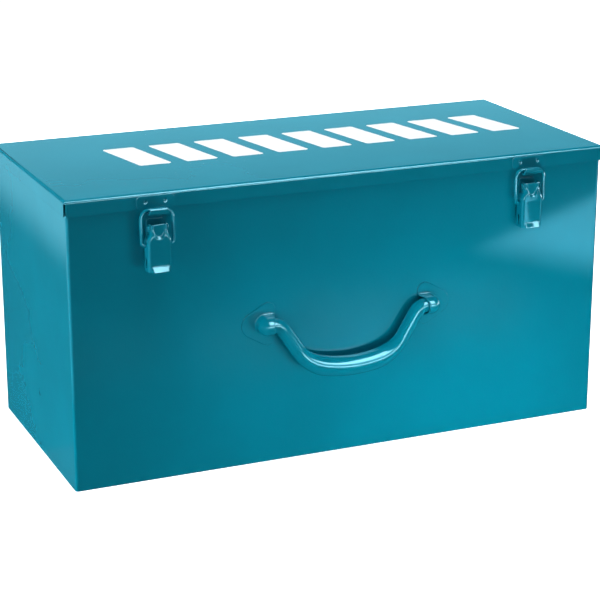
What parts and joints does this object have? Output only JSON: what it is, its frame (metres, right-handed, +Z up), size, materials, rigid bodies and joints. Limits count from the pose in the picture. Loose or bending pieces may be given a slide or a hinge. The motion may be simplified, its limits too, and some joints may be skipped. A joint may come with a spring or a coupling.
{
  "type": "metal tool box",
  "caption": "Oblong sheet-steel carrying case for tools, with a hinged pan lid, draw latches on its front and a drop handle between them.",
  "frame": {"origin": "centre of the case's underside", "axes": "+X along the length to the right as seen from the front, the latches and handle face -Y, +Z up"},
  "size_m": [0.465, 0.2262, 0.234],
  "materials": {
    "body_enamel": "gloss",
    "lid_enamel": "gloss",
    "hinge_enamel": "gloss",
    "latch_enamel": "gloss",
    "handle_enamel": "gloss"
  },
  "bodies": {
    "case": {"body_wall": "body_enamel", "bottom_panel": "body_enamel", "handle_bracket_left": "handle_enamel", "handle_bracket_right": "handle_enamel", "hinge_body_leaf_left": "hinge_enamel", "hinge_pin_left": "hinge_enamel", "latch_base_left": "latch_enamel", "latch_rivet_left": "latch_enamel", "hinge_body_leaf_right": "hinge_enamel", "hinge_pin_right": "hinge_enamel", "latch_base_right": "latch_enamel", "latch_rivet_right": "latch_enamel"},
    "lid": {"lid_panel": "lid_enamel", "hinge_lid_leaf_left": "hinge_enamel", "latch_keeper_left": "latch_enamel", "hinge_lid_leaf_right": "hinge_enamel", "latch_keeper_right": "latch_enamel"},
    "handle": {"handle": "handle_enamel"},
    "lever_left": {"latch_lever_left": "latch_enamel"},
    "bail_left": {"latch_bail_left": "latch_enamel"},
    "lever_right": {"latch_lever_right": "latch_enamel"},
    "bail_right": {"latch_bail_right": "latch_enamel"}
  },
  "joints": [
    {"name": "lid_hinge", "type": "hinge", "parent": "case", "child": "lid", "pos_m": [0, 0.1045, 0.2175], "axis": [-1, 0, 0], "range_deg": [0, 105]},
    {"name": "handle_swing", "type": "hinge", "parent": "case", "child": "handle", "pos_m": [0, -0.108, 0.117], "axis": [-1, 0, 0], "range_deg": [0, 170]},
    {"name": "lever_left_pivot", "type": "hinge", "parent": "case", "child": "lever_left", "pos_m": [-0.161, -0.1085, 0.2075], "axis": [-1, 0, 0], "range_deg": [0, 105]},
    {"name": "bail_left_pivot", "type": "hinge", "parent": "lever_left", "child": "bail_left", "pos_m": [-0.161, -0.108, 0.1941], "axis": [1, 0, 0], "range_deg": [0, 76]},
    {"name": "lever_right_pivot", "type": "hinge", "parent": "case", "child": "lever_right", "pos_m": [0.161, -0.1085, 0.2075], "axis": [-1, 0, 0], "range_deg": [0, 105]},
    {"name": "bail_right_pivot", "type": "hinge", "parent": "lever_right", "child": "bail_right", "pos_m": [0.161, -0.108, 0.1941], "axis": [1, 0, 0], "range_deg": [0, 76]}
  ],
  "couplings": [
    {"joint": "bail_left_pivot", "follows": "lever_left_pivot", "ratio": 0.7},
    {"joint": "bail_right_pivot", "follows": "lever_right_pivot", "ratio": 0.7}
  ]
}
